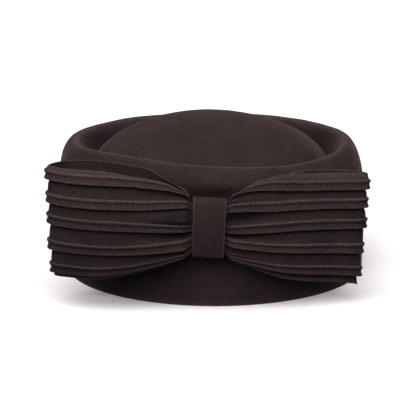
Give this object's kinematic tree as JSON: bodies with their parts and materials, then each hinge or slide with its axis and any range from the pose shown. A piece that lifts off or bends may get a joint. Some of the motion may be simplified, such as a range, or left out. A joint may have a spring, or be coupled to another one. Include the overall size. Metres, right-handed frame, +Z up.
{
  "type": "pillbox hat",
  "caption": "Oval felt pillbox hat with a rolled crest around a domed tip, open underneath, and a flat tucked felt bow held by a plain knot on its front.",
  "frame": {"origin": "middle of the whole hat's box, at the level of the rim it rests on", "axes": "+Z up, -Y to the front with the bow, +X to the right when looking at the bow"},
  "size_m": [0.1772, 0.2206, 0.0884],
  "materials": {
    "crown_felt": "brushed wool felt",
    "bow_felt": "brushed wool felt"
  },
  "bodies": {
    "root": {"crown": "crown_felt", "bow_loop_left": "bow_felt", "bow_loop_right": "bow_felt", "bow_knot": "bow_felt"}
  },
  "joints": []
}
